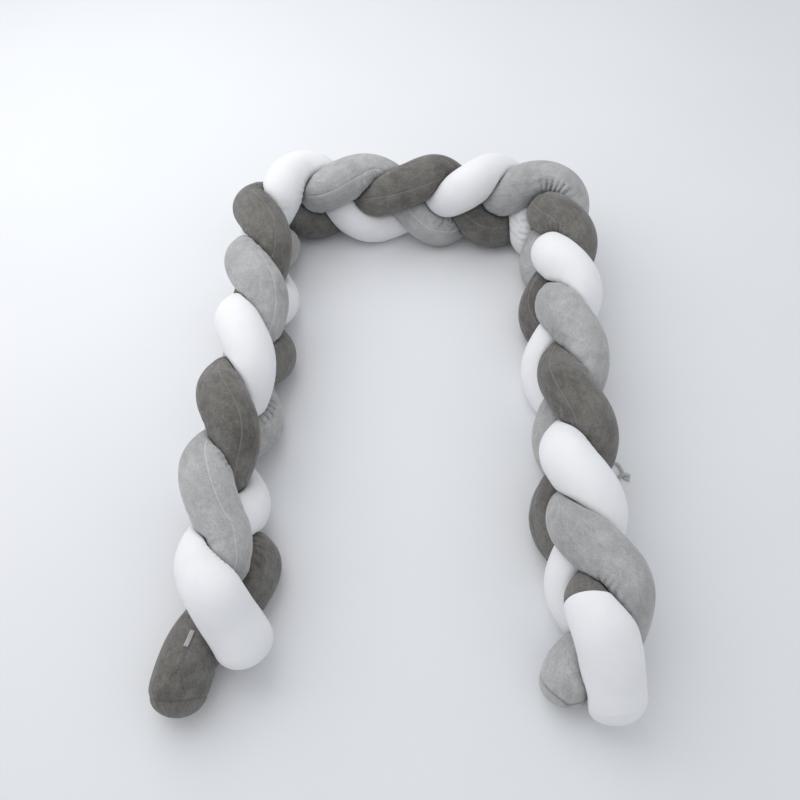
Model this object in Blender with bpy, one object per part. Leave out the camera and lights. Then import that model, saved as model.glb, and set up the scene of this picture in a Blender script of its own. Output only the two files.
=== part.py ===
"""Crib bumper: three stuffed fabric tubes plaited together, standing on edge in a U.

Metres, +Z up. The plait runs from the left front end back along the left arm, across the head
end and forward along the right arm, so +Y points from the open front to the head end. Places
are drawn from a datum in front of the left and right arms, and MIDDLE brings the middle of the
footprint to the origin.
"""
import math

import bpy
import numpy as np
from mathutils import Vector

# ------------------------------------------------------------------ driving dimensions
ARM_SPREAD = 0.486          # between the middle lines of the two arms
HEAD_DISTANCE = 0.862       # from the start of the plait to the middle line of the head end
CORNER_RADIUS = 0.065       # of the plait's middle line
PLAIT_START = 0.200         # from the datum to where the plait's stations begin
MIDDLE = (-0.0020, 0.6545)  # of the footprint, from the datum

TUBE_RADIUS = 0.0375        # a tube where nothing squeezes it
LOW_CENTRE = 0.0315         # height of a tube's middle where it passes under the plait
LOW_DEPTH = 0.0190          # how far a tube's middle swings in and out where it passes under
PLAIT_LEAN = 0.006          # how much further out a tube lies on top than underneath
SWING_LAG = 0.08            # radians by which the swing in and out follows the rise and fall

CONTACT_GAP = 0.0020        # left between tubes, which their facets narrow to about 0.3 mm
CONTACT_ROUNDING = 0.008    # how softly a tube rounds off into a contact
FLOOR_ROUNDING = 0.004      # the same where it stands on the surface
BEND_LIMIT = 0.85           # of the bend's own radius, on the inside of a bend
THINNEST = 0.0005
REACH = 1.0                 # stands for no contact at all

RING_SIDES = 14
RING_STEP = 0.0145
ROUTE_STEP = 0.004
CURVE_STEPS = 12            # between two points of a route
POINTS_A_PASS = 6           # route points from one pass over the top to the next
TIP_ANGLES = (0.25, 0.69, 1.13, math.pi / 2)
TIP_FULLNESS = 2.5          # 2 is a hemisphere

SEAM_FROM_TIP = 0.151       # of the dark tube's route, back to its cross seam
SEAM_GAP = 0.0004           # between the dark tube and the white end sewn to it
SLEEVE_OVER = 0.0010        # by which the white end is the wider one
RIM = 0.0025                # how far the edges at the cross seam round off

# Each time a tube passes over the top of the plait, in order along it. Station is the distance
# along the middle line, rise half the height that tubes climb there, out a shift outwards of the
# top pass, low_out that of the pass underneath, half a pass further on, and depth how far the
# tube swings in and out on top.
OVERS = (
    # station, rise, out, low_out, depth
    (0.106, 0.0420, -0.013, -0.026, 0.023),
    (0.245, 0.0465, 0.014, 0.024, 0.011),
    (0.370, 0.0465, 0.007, 0.004, 0.017),
    (0.506, 0.0465, 0.004, 0.003, 0.016),
    (0.626, 0.0465, 0.000, 0.012, 0.019),
    (0.762, 0.0470, 0.008, 0.022, 0.016),
    (0.867, 0.0470, 0.012, 0.019, 0.019),
    (0.966, 0.0465, 0.002, 0.010, 0.019),
    (1.097, 0.0465, 0.002, 0.003, 0.019),
    (1.196, 0.0465, -0.001, 0.000, 0.022),
    (1.305, 0.0475, 0.013, 0.004, 0.019),
    (1.396, 0.0470, 0.013, 0.013, 0.019),
    (1.501, 0.0470, 0.008, 0.000, 0.019),
    (1.624, 0.0465, 0.006, -0.003, 0.0155),
    (1.763, 0.0465, -0.003, 0.010, 0.018),
    (1.878, 0.0465, -0.014, -0.010, 0.016),
    (1.992, 0.0465, 0.002, 0.013, 0.019),
    (2.095, 0.0455, 0.007, 0.000, 0.019),
)
TUBES = ("white", "light", "dark")      # in the order in which they pass over the top

# Where each tube joins and leaves the plait, counted in passes over the top
PLAITED = {"white": (0.0, 16.75), "light": (0.55, 16.40), "dark": (0.50, 16.55)}

# How full a tube is, at passes over the top and, on its loose ends, before and after them
PASS_LENGTH = 0.150         # of tube, from one pass to the next
FULLNESS = {
    "white": ((-0.7, 1.06), (0.0, 0.96), (0.40, 0.78), (0.9, 1.0), (14.5, 0.97), (15.4, 1.02)),
    "light": ((0.2, 0.94), (1.2, 0.94), (1.9, 1.0), (12.4, 1.0), (13.0, 0.94), (13.6, 1.0),
              (15.2, 1.0), (15.7, 0.94), (16.2, 1.0)),
    "dark": ((13.4, 1.0), (14.0, 0.95), (14.6, 1.0), (16.6, 1.0), (17.6, 1.04)),
}

# Its loose ends, as points of the tube's middle from the datum, in the direction of the plait
LEFT_END = {
    "white": ((-0.195, 0.248, 0.032), (-0.205, 0.269, 0.058), (-0.220, 0.288, 0.086)),
    "light": ((-0.235, 0.325, 0.085),),
    "dark": ((-0.281, 0.178, 0.034), (-0.280, 0.220, 0.035), (-0.270, 0.265, 0.035),
             (-0.246, 0.305, 0.034), (-0.220, 0.337, 0.033)),
}
RIGHT_END = {
    "white": ((0.246, 0.300, 0.036),),
    "light": ((0.275, 0.303, 0.074), (0.266, 0.282, 0.050), (0.245, 0.266, 0.037),
              (0.221, 0.249, 0.034), (0.207, 0.226, 0.034), (0.201, 0.199, 0.032)),
    "dark": ((0.243, 0.274, 0.106), (0.251, 0.250, 0.090), (0.256, 0.229, 0.068),
             (0.261, 0.208, 0.044), (0.266, 0.182, 0.029)),
}

# The tie, from its root on the light tube round the place of a bar to its free ends
TIE_DIAMETER = 0.003
TIE_STEP = 0.006
TIES = {
    "tie_near": ((0.2788, 0.5346, 0.0124), (0.2820, 0.5358, 0.0094), (0.2868, 0.5352, 0.0052),
                 (0.2942, 0.5325, 0.0020), (0.3050, 0.5310, 0.0020), (0.3149, 0.5325, 0.0022),
                 (0.3230, 0.5365, 0.0045), (0.3289, 0.5400, 0.0056), (0.3338, 0.5405, 0.0037),
                 (0.3388, 0.5385, 0.0020)),
    "tie_far": ((0.2759, 0.5410, 0.0125), (0.2792, 0.5424, 0.0094), (0.2848, 0.5450, 0.0052),
                (0.2929, 0.5515, 0.0020), (0.3032, 0.5590, 0.0020), (0.3140, 0.5625, 0.0020),
                (0.3235, 0.5580, 0.0020), (0.3275, 0.5485, 0.0020), (0.3289, 0.5400, 0.0018),
                (0.3320, 0.5345, 0.0020), (0.3370, 0.5315, 0.0020)),
}

# The small label on top of the dark tube's left end, sewn into its lengthwise seam
LABEL_PLACE = (-0.2675, 0.2643)
LABEL_SIZE = (0.006, 0.021, 0.0008)
LABEL_TURN = math.radians(-15)
LABEL_LEVEL = 0.0719

# name of the material: colour, roughness
FABRICS = {
    "white_jersey": ((0.80, 0.81, 0.82), 0.90),
    "light_velour": ((0.36, 0.37, 0.37), 0.85),
    "dark_velour": ((0.105, 0.100, 0.094), 0.85),
    "grey_tape": ((0.30, 0.30, 0.28), 0.85),
    "label_tape": ((0.62, 0.62, 0.60), 0.80),
}


# ------------------------------------------------------------------ the plait's middle line
def plan_point(station):
    """The middle line's place and outward direction, this far along it."""
    straight = HEAD_DISTANCE - CORNER_RADIUS
    corner = CORNER_RADIUS * math.pi / 2
    across = ARM_SPREAD - 2 * CORNER_RADIUS
    half = ARM_SPREAD / 2
    if station < straight:
        x, y, turn = -half, station, 0.0
    elif station < straight + corner:
        turn = (station - straight) / CORNER_RADIUS
        x = -half + CORNER_RADIUS * (1 - math.cos(turn))
        y = straight + CORNER_RADIUS * math.sin(turn)
    elif station < straight + corner + across:
        x, y, turn = -half + CORNER_RADIUS + station - straight - corner, HEAD_DISTANCE, math.pi / 2
    elif station < straight + 2 * corner + across:
        turn = math.pi / 2 + (station - straight - corner - across) / CORNER_RADIUS
        x = half - CORNER_RADIUS - CORNER_RADIUS * math.cos(turn)
        y = straight + CORNER_RADIUS * math.sin(turn)
    else:
        x, y, turn = half, 2 * straight + 2 * corner + across - station, math.pi
    return (x, y + PLAIT_START), (-math.cos(turn), math.sin(turn))


def curve_between(p0, p1, p2, p3, t):
    """A Catmull-Rom curve from p1 to p2."""
    return 0.5 * (2 * p1 + (p2 - p0) * t + (2 * p0 - 5 * p1 + 4 * p2 - p3) * t ** 2
                  + (3 * p1 - p0 - 3 * p2 + p3) * t ** 3)


def read_column(at, column):
    """A table's column, read smoothly between its rows and straight on outside them."""
    last = len(column) - 1
    row = min(max(math.floor(at), 0), last - 1)
    t = at - row
    p1, p2 = column[row], column[row + 1]
    if t < 0 or t > 1:
        end = p1 if t < 0 else p2
        return end + (p2 - p1) * (t if t < 0 else t - 1)
    p0 = column[row - 1] if row > 0 else 2 * p1 - p2
    p3 = column[row + 2] if row + 2 <= last else 2 * p2 - p1
    return curve_between(p0, p1, p2, p3, t)


def plait_point(over, tube):
    """The middle of a tube at a place in the plait, counted in passes over the top."""
    stations, rises, outs, low_outs, depths = zip(*OVERS)
    turns = (over - TUBES.index(tube)) / len(TUBES)
    swing = 2 * math.pi * turns + math.pi / 2
    (x, y), (out_x, out_y) = plan_point(read_column(over, stations))
    on_top = (1 + math.sin(swing)) / 2
    shift = read_column(over, outs) * on_top + read_column(over - 0.5, low_outs) * (1 - on_top)
    own_depth = depths[min(round(turns) * len(TUBES) + TUBES.index(tube), len(depths) - 1)]
    depth = own_depth * on_top + LOW_DEPTH * (1 - on_top)
    sideways = shift - depth * math.sin(2 * (swing - SWING_LAG)) + PLAIT_LEAN * math.sin(swing)
    height = LOW_CENTRE + 2 * read_column(over, rises) * on_top
    return (x + out_x * sideways, y + out_y * sideways, height)


def smooth_curve(points, steps):
    """Points of a smooth curve through the given ones."""
    p = np.asarray(points, float)
    p = np.vstack([2 * p[0] - p[1], p, 2 * p[-1] - p[-2]])
    t = np.linspace(0, 1, steps, endpoint=False)[:, None]
    spans = [curve_between(*p[i:i + 4], t) for i in range(len(p) - 3)]
    return np.vstack(spans + [p[-2]])


def distances_along(points):
    return np.r_[0, np.cumsum(np.linalg.norm(np.diff(points, axis=0), axis=1))]


def even_points(points, step):
    """The same line with points at even distances, and those distances."""
    along = distances_along(points)
    at = np.linspace(0, along[-1], max(round(along[-1] / step), 2) + 1)
    return read_line(points, along, at), at


def read_line(points, along, at):
    """A line's points, or its directions, at some distances along it."""
    return np.stack([np.interp(at, along, points[:, axis]) for axis in range(3)], axis=1)


def from_datum(points):
    """The points moved from the drawing's datum to the part's own origin."""
    return np.asarray(points, float) - (MIDDLE[0], MIDDLE[1], 0.0)


def tube_route(tube):
    """The whole middle line of one tube with its loose ends, and its full radius all along."""
    first, last = PLAITED[tube]
    count = round((last - first) * POINTS_A_PASS)
    overs = [first + (last - first) * i / count for i in range(count + 1)]
    points = [*LEFT_END[tube], *(plait_point(over, tube) for over in overs), *RIGHT_END[tube]]
    curve = smooth_curve(from_datum(points), CURVE_STEPS)
    middle, along = even_points(curve, ROUTE_STEP)
    first_plaited = len(LEFT_END[tube])
    passes = distances_along(curve)[::CURVE_STEPS][first_plaited:first_plaited + count + 1]
    loose = PASS_LENGTH * np.array((-1, 1)) + passes[[0, -1]]
    counted = np.interp(along, [loose[0], *passes, loose[1]], [first - 1, *overs, last + 1])
    full_at, fullness = zip(*FULLNESS[tube])
    full = np.interp(counted, full_at, fullness)
    return middle, along, TUBE_RADIUS * full


# ------------------------------------------------------------------ a tube's rings
def soft_min(a, b, rounding):
    """The lesser of two lengths, rounded off where they meet."""
    blend = np.maximum(rounding - np.abs(a - b), 0) / rounding
    return np.minimum(a, b) - blend ** 2 * rounding / 4


def smoothed(rows, times):
    for _ in range(times):
        rows[1:-1] = (rows[:-2] + rows[1:-1] + rows[2:]) / 3
    return rows


def unit(rows):
    return rows / np.linalg.norm(rows, axis=-1, keepdims=True)


def ring_places(length):
    """Distances of the rings along a tube, closer together at its round tips."""
    tip = TUBE_RADIUS * (1 - np.cos(TIP_ANGLES))
    count = int((length - 2 * TUBE_RADIUS) / RING_STEP)
    middle = np.linspace(TUBE_RADIUS, length - TUBE_RADIUS, count + 1)[1:-1]
    return np.r_[tip, middle, length - tip[::-1]]


def tip_share(places, length):
    """How much of its full radius a tube has near its tips."""
    inside = np.minimum(places, length - places) / TUBE_RADIUS
    return np.sqrt(np.maximum(1 - np.clip(1 - inside, 0, 1) ** TIP_FULLNESS, 0))


def contact_distance(centres, radii, spokes, others):
    """How far each spoke goes before it meets the face shared with another tube."""
    other_middles, other_radii = others
    distances = np.full(spokes.shape[:2], REACH)
    for i, (centre, radius) in enumerate(zip(centres, radii)):
        away = other_middles - centre
        apart = np.linalg.norm(away, axis=1)
        near = apart < 4 * TUBE_RADIUS
        towards = spokes[i] @ away[near].T
        shared = (apart[near] ** 2 + radius ** 2 - other_radii[near] ** 2 - apart[near] * CONTACT_GAP) / 2
        reached = np.where(towards > 1e-6, shared / np.maximum(towards, 1e-6), REACH)
        distances[i] = reached.min(axis=1)
    return distances


def tube_rings(route, places, others, wider=0.0):
    """The rings of a tube: their centres and points, squeezed by its neighbours."""
    middle, along, radii = route
    heading = unit(smoothed(np.gradient(middle, axis=0), 3))
    bend = smoothed(np.gradient(heading, along, axis=0), 4)
    centres = read_line(middle, along, places)
    ahead = unit(read_line(heading, along, places))
    upright = unit(np.array((0.0, 0.0, 1.0)) - ahead[:, 2:] * ahead)
    side = np.cross(ahead, upright)
    angles = np.arange(RING_SIDES) * 2 * math.pi / RING_SIDES
    spokes = (side[:, None] * np.cos(angles)[None, :, None]
              + upright[:, None] * np.sin(angles)[None, :, None])

    share = tip_share(places, along[-1])[:, None]
    full = np.interp(places, along, radii)[:, None] * share
    contact = contact_distance(centres, full[:, 0], spokes, others)
    inward = np.einsum("nmk,nk->nm", spokes, read_line(bend, along, places))
    contact = np.minimum(contact, BEND_LIMIT / np.maximum(inward, BEND_LIMIT / REACH))
    floor = centres[:, 2:] / np.maximum(-spokes[..., 2], centres[:, 2:] / REACH)
    radius = soft_min(full + wider * share, contact, CONTACT_ROUNDING * share + 1e-5)
    radius = np.maximum(soft_min(radius, floor, FLOOR_ROUNDING), THINNEST)
    return centres, centres[:, None] + spokes * radius[..., None]


def neighbours(tube, routes):
    """The middles of the other tubes, and their full radius at each of those points."""
    others = [routes[name] for name in TUBES if name != tube]
    middles = np.vstack([middle for middle, _, _ in others])
    radii = np.concatenate([radii * tip_share(along, along[-1]) for _, along, radii in others])
    return middles, radii


# ------------------------------------------------------------------ making the objects
def make_fabric(name):
    colour, roughness = FABRICS[name]
    material = bpy.data.materials.new(name)
    material.use_nodes = True
    shader = material.node_tree.nodes["Principled BSDF"]
    shader.inputs["Base Color"].default_value = (*colour, 1)
    shader.inputs["Roughness"].default_value = roughness
    shader.inputs["Metallic"].default_value = 0.0
    material.diffuse_color = (*colour, 1)
    return material


def finish(piece, name, fabric, collection):
    piece.name = name
    for old in piece.users_collection:
        old.objects.unlink(piece)
    collection.objects.link(piece)
    piece.data.materials.append(bpy.data.materials[fabric])
    return piece


def loft(name, rings, first_tip, last_tip, fabric, collection):
    """A closed skin over rings of points, drawn to a point at each end."""
    count, sides = rings.shape[:2]
    points = np.vstack([rings.reshape(-1, 3), first_tip, last_tip])
    first, last = count * sides, count * sides + 1
    faces = []
    for side in range(sides):
        across = (side + 1) % sides
        faces.append((first, side, across))
        faces.append((last, (count - 1) * sides + across, (count - 1) * sides + side))
        for ring in range(count - 1):
            a, b = ring * sides + side, ring * sides + across
            faces.append((a, a + sides, b))
            faces.append((b, a + sides, b + sides))
    mesh = bpy.data.meshes.new(name)
    mesh.from_pydata(points.tolist(), [], faces)
    mesh.shade_smooth()
    mesh.set_sharp_from_angle(angle=math.radians(50))
    return finish(bpy.data.objects.new(name, mesh), name, fabric, collection)


def make_whole_tube(tube, routes, fabric, collection):
    """A tube with a round tip at both ends."""
    middle, along, _ = routes[tube]
    _, rings = tube_rings(routes[tube], ring_places(along[-1]), neighbours(tube, routes))
    return loft(tube + "_tube", rings, middle[0], middle[-1], fabric, collection)


def make_seamed_tube(tube, routes, fabric, end_fabric, collection):
    """A tube that ends at a cross seam, and the wider end piece sewn to it there."""
    middle, along, _ = routes[tube]
    others = neighbours(tube, routes)
    places = ring_places(along[-1])
    seam = along[-1] - SEAM_FROM_TIP
    before = seam - SEAM_GAP / 2
    after = seam + SEAM_GAP / 2

    body = places[places < before - 2 * RIM]
    body = np.r_[body, before - RIM, before]
    centres, rings = tube_rings(routes[tube], body, others)
    rings[-1] += unit(centres[-1] - rings[-1]) * RIM
    loft(tube + "_tube", rings, middle[0], centres[-1], fabric, collection)

    end = places[places > after + 2 * RIM]
    end = np.r_[after, after + RIM, end]
    centres, rings = tube_rings(routes[tube], end, others, wider=SLEEVE_OVER)
    rings[0] += unit(centres[0] - rings[0]) * RIM / 2
    loft("white_end", rings, centres[0], middle[-1], end_fabric, collection)


def make_tie(name, collection):
    """A narrow tape's whole way from its root to its free end, as a round cord."""
    points, _ = even_points(smooth_curve(from_datum(TIES[name]), CURVE_STEPS), TIE_STEP)
    curve = bpy.data.curves.new(name, "CURVE")
    curve.dimensions = "3D"
    curve.bevel_depth = TIE_DIAMETER / 2
    curve.bevel_resolution = 2
    curve.use_fill_caps = True
    spline = curve.splines.new("POLY")
    spline.points.add(len(points) - 1)
    for place, point in zip(spline.points, points):
        place.co = (*point, 1)
    return finish(bpy.data.objects.new(name, curve), name, "grey_tape", collection)


def make_label(collection):
    """The blank label lying on the dark tube."""
    bpy.ops.mesh.primitive_cube_add(size=1)
    label = bpy.context.object
    label.data.transform(label.matrix_world)
    for point in label.data.vertices:
        point.co = Vector(a * b for a, b in zip(point.co, LABEL_SIZE))
    x, y = LABEL_PLACE
    label.location = from_datum((x, y, LABEL_LEVEL + LABEL_SIZE[2] / 2))
    label.rotation_euler.z = LABEL_TURN
    return finish(label, "seam_label", "label_tape", collection)


def build():
    for old in list(bpy.data.objects):
        bpy.data.objects.remove(old, do_unlink=True)
    collection = bpy.data.collections.new("braided_crib_bumper")
    bpy.context.scene.collection.children.link(collection)
    for name in FABRICS:
        make_fabric(name)

    routes = {tube: tube_route(tube) for tube in TUBES}
    make_whole_tube("white", routes, "white_jersey", collection)
    make_whole_tube("light", routes, "light_velour", collection)
    make_seamed_tube("dark", routes, "dark_velour", "white_jersey", collection)
    for name in TIES:
        make_tie(name, collection)
    make_label(collection)


build()
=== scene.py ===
"""Plaited crib bumper for the render: three stuffed fabric tubes, sewn, filled and laid in a U.

Metres, +Z up, in the frame of the CAD model. The plait runs from the left front end back along
the left arm, across the head end and forward along the right arm.
"""
import math

import bpy
import numpy as np
from mathutils import Matrix


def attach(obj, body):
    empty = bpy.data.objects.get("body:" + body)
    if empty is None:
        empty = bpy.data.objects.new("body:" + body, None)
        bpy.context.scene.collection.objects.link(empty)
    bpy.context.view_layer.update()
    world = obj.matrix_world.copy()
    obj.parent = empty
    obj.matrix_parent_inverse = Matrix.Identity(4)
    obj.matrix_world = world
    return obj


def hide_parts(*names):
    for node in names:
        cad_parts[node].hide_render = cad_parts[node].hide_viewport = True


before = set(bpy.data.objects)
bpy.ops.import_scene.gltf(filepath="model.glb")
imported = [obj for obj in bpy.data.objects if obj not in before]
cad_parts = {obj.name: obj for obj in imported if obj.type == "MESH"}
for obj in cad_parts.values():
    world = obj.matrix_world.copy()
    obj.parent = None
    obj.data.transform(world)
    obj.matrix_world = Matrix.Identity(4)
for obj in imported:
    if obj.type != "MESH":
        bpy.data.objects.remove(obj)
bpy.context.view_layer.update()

# ------------------------------------------------------------------ driving dimensions
ARM_SPREAD = 0.486          # between the middle lines of the two arms
HEAD_DISTANCE = 0.862       # from the start of the plait to the middle line of the head end
CORNER_RADIUS = 0.065       # of the plait's middle line
PLAIT_START = 0.200         # from the datum to where the plait's stations begin
MIDDLE = (-0.0020, 0.6545)  # of the footprint, from the datum

TUBE_RADIUS = 0.0375        # a tube where nothing squeezes it
LOW_CENTRE = 0.0315         # height of a tube's middle where it passes under the plait
LOW_DEPTH = 0.0190          # how far a tube's middle swings in and out where it passes under
PLAIT_LEAN = 0.006          # how much further out a tube lies on top than underneath
SWING_LAG = 0.08            # radians by which the swing in and out follows the rise and fall

CONTACT_GAP = 0.0008        # left between tubes
CONTACT_ROUNDING = 0.0065   # how softly a tube rounds off into a contact
FLOOR_ROUNDING = 0.004      # the same where it stands on the surface
BEND_LIMIT = 0.85           # of the bend's own radius, on the inside of a bend
THINNEST = 0.0005           # that a tube may be squeezed to
EVENING, EVENING_ROUNDS = 0.08, 8   # how much a skin's radii are evened out, and how often
EVEN_TIPS = (0.80, 1.0)     # of the full radius, from where on they are evened out less
REACH = 1.0                 # stands for no contact at all

RING_STEP = 0.0028
ROUTE_STEP = 0.004
CURVE_STEPS = 12            # between two points of a route
POINTS_A_PASS = 6           # route points from one pass over the top to the next
SMOOTH_HEADINGS, SMOOTH_BENDS = 3, 4        # rounds of smoothing, along a route
SEAM_STEP, SMOOTH_SEAMS = 0.002, 60         # the same for a seam's angles
TIP_RINGS = 22
TIP_FULLNESS = 2.5          # 2 is a hemisphere
SEAM_COLUMNS = (0.0, 0.0007, 0.0015, 0.0025, 0.0040)    # mesh lines each side of a seam
PLAIN_COLUMNS = 90          # mesh lines round the rest of a tube

SEAM_FROM_TIP = 0.151       # of the dark tube's route, back to its cross seam
SEAM_GAP = 0.0004           # between the dark tube and the white end sewn to it
SLEEVE_OVER = 0.0010        # by which the white end is the wider one
RIM = 0.0018                # how far the edges at the cross seam round off
SEAM_SLANT = 0.0070         # further from the tip on its inner side, and nearer on its outer side
SLANT_FADES = 0.050         # along the tube, to either side of the seam

# Each time a tube passes over the top of the plait, in order along it. Station is the distance
# along the middle line, rise half the height that tubes climb there, out a shift outwards of the
# top pass, low_out that of the pass underneath, half a pass further on, and depth how far the
# tube swings in and out on top.
OVERS = (
    # station, rise, out, low_out, depth
    (0.106, 0.0420, -0.013, -0.026, 0.023),
    (0.245, 0.0465, 0.014, 0.024, 0.011),
    (0.370, 0.0465, 0.007, 0.004, 0.017),
    (0.506, 0.0465, 0.004, 0.003, 0.016),
    (0.626, 0.0465, 0.000, 0.012, 0.019),
    (0.762, 0.0470, 0.008, 0.022, 0.016),
    (0.867, 0.0470, 0.012, 0.019, 0.019),
    (0.966, 0.0465, 0.002, 0.010, 0.019),
    (1.097, 0.0465, 0.002, 0.003, 0.019),
    (1.196, 0.0465, -0.001, 0.000, 0.022),
    (1.305, 0.0475, 0.013, 0.004, 0.019),
    (1.396, 0.0470, 0.013, 0.013, 0.019),
    (1.501, 0.0470, 0.008, 0.000, 0.019),
    (1.624, 0.0465, 0.006, -0.003, 0.0155),
    (1.763, 0.0465, -0.003, 0.010, 0.018),
    (1.878, 0.0465, -0.014, -0.010, 0.016),
    (1.992, 0.0465, 0.002, 0.013, 0.019),
    (2.095, 0.0455, 0.007, 0.000, 0.019),
)
TUBES = ("white", "light", "dark")      # in the order in which they pass over the top

# Where each tube joins and leaves the plait, counted in passes over the top
PLAITED = {"white": (0.0, 16.75), "light": (0.55, 16.40), "dark": (0.50, 16.55)}

# How full a tube is, at passes over the top and, on its loose ends, before and after them
PASS_LENGTH = 0.150         # of tube, from one pass to the next
FULLNESS = {
    "white": ((-0.7, 1.06), (0.0, 0.96), (0.40, 0.78), (0.9, 1.0), (14.5, 0.97), (15.4, 1.02)),
    "light": ((0.2, 0.94), (1.2, 0.94), (1.9, 1.0), (12.4, 1.0), (13.0, 0.94), (13.6, 1.0),
              (15.2, 1.0), (15.7, 0.94), (16.2, 1.0)),
    "dark": ((13.4, 1.0), (14.0, 0.95), (14.6, 1.0), (16.6, 1.0), (17.6, 1.04)),
}

# Its loose ends, as points of the tube's middle from the datum, in the direction of the plait
LEFT_END = {
    "white": ((-0.195, 0.248, 0.032), (-0.205, 0.269, 0.058), (-0.220, 0.288, 0.086)),
    "light": ((-0.235, 0.325, 0.085),),
    "dark": ((-0.281, 0.178, 0.034), (-0.280, 0.220, 0.035), (-0.270, 0.265, 0.035),
             (-0.246, 0.305, 0.034), (-0.220, 0.337, 0.033)),
}
RIGHT_END = {
    "white": ((0.246, 0.300, 0.036),),
    "light": ((0.275, 0.303, 0.074), (0.266, 0.282, 0.050), (0.245, 0.266, 0.037),
              (0.221, 0.249, 0.034), (0.207, 0.226, 0.034), (0.201, 0.199, 0.032)),
    "dark": ((0.243, 0.274, 0.106), (0.251, 0.250, 0.090), (0.256, 0.229, 0.068),
             (0.261, 0.208, 0.044), (0.266, 0.182, 0.029)),
}

# The lengthwise seam of each cover: passes over the top, and the angle round the tube in degrees,
# from 0 on the inner side of the U through 90 on top to 180 on the outer side
SEAMS = {
    "white": ((0.0, -80), (16.75, -80)),
    "light": ((0.40, 46), (0.54, 60), (0.68, 70), (0.90, 75), (1.19, 74), (1.39, 88), (2.40, 60),
              (3.43, 28), (3.57, 44), (3.72, 60), (5.20, 40), (6.64, 18), (6.80, 33), (7.08, 38),
              (7.27, 60), (8.20, 25), (9.00, -10), (9.60, -40), (10.6, -40), (12.2, -10),
              (12.6, 5), (12.85, -5), (13.02, -20), (13.3, -28), (14.2, -40), (16.4, -90)),
    "dark": ((0.20, -60), (0.60, -50), (1.25, 20), (1.49, 46), (1.67, 58), (1.91, 69), (2.05, 71),
             (2.28, 84), (2.47, 114), (3.50, 80), (4.48, 58), (4.78, 72), (5.01, 73), (5.45, 88),
             (6.40, 50), (7.36, 22), (7.56, 31), (7.84, 30), (8.04, 24), (9.40, 40), (10.75, 36),
             (11.10, 40), (12.4, 50), (13.65, 51), (13.92, 47), (14.15, 40), (14.90, 30),
             (15.02, 25), (15.35, 20), (15.8, -60), (16.55, -90)),
}

# The tie, from its root on the light tube round the place of a bar to its free ends
TAPE_WIDTH = 0.0050
TAPE_THICKNESS = 0.0012
TAPE_STEP = 0.0012
TAPE_SIDES = 12
TAPE_FLATNESS = 0.35        # 1 is an oval, and less is flatter
TIES = {
    "tie_near": ((0.2788, 0.5346, 0.0124), (0.2820, 0.5358, 0.0094), (0.2868, 0.5352, 0.0052),
                 (0.2942, 0.5325, 0.0020), (0.3050, 0.5310, 0.0020), (0.3149, 0.5325, 0.0022),
                 (0.3230, 0.5365, 0.0045), (0.3289, 0.5400, 0.0056), (0.3338, 0.5405, 0.0037),
                 (0.3388, 0.5385, 0.0020)),
    "tie_far": ((0.2759, 0.5410, 0.0125), (0.2792, 0.5424, 0.0094), (0.2848, 0.5450, 0.0052),
                (0.2929, 0.5515, 0.0020), (0.3032, 0.5590, 0.0020), (0.3140, 0.5625, 0.0020),
                (0.3235, 0.5580, 0.0020), (0.3275, 0.5485, 0.0020), (0.3289, 0.5400, 0.0018),
                (0.3320, 0.5345, 0.0020), (0.3370, 0.5315, 0.0020)),
}

# The small label on top of the dark tube's left end, sewn into its lengthwise seam
LABEL_PLACE = (-0.2675, 0.2643)
LABEL_SIZE = (0.006, 0.021, 0.0008)
LABEL_TURN = math.radians(-15)
LABEL_LIFT = 0.0002         # off the tube's round back
LABEL_CURL = 0.0006         # by which its ends stand up
LABEL_MESH = 9, 25          # points across and along

# How each cover drapes over its filling, in metres
DRAPE = {
    # cover: depth of folds, of puckers and long wrinkles beside a contact, and of the seam's groove
    "white": (0.0014, 0.0007, 0.0004, 0.0003),
    "light": (0.0022, 0.0013, 0.0022, 0.0010),
    "dark": (0.0022, 0.0012, 0.0022, 0.0010),
}
LUMP, LUMP_CELL = 0.0012, (0.055, 0.034)        # soft unevenness: height, and length and width
FOLD_CELL = (0.0110, 0.040)                     # folds across the inside of a bend
FOLD_STRAY, STRAY_CELL = 0.010, (0.05, 0.03)    # how far a fold wanders along the tube
FOLDS_FROM, FOLDS_TO = 0.15, 0.60               # tube's radius to bend's, at first and full folds
PUCKER_PITCH, PUCKER_REACH = 0.0095, 0.012
PUCKER_PATCH = (0.06, 0.05)                     # puckers come and go in patches
WRINKLE_PITCH, WRINKLE_REACH = 0.022, 0.034
BACK_SHARE = 0.3            # of a crease's depth, by which the cover bulges between creases
CREASES_FADE = (-0.012, -0.002)     # inside a contact's line, where creases fade out of sight
WIDEST_GAP = 0.03           # between a cover and the face of a contact that still counts
LEAST_SLOPE = 0.15          # of a cover away from a contact, for finding the contact's line

# The lengthwise seam: width of its groove and of the hollow about it, what it gathers, and how far
SEAM_WIDTH, SEAM_HOLLOW, HOLLOW_SHARE = 0.0012, 0.007, 0.3
RUFFLE_CELL, RUFFLE_REACH = (0.0070, 0.040), 0.020

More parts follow.
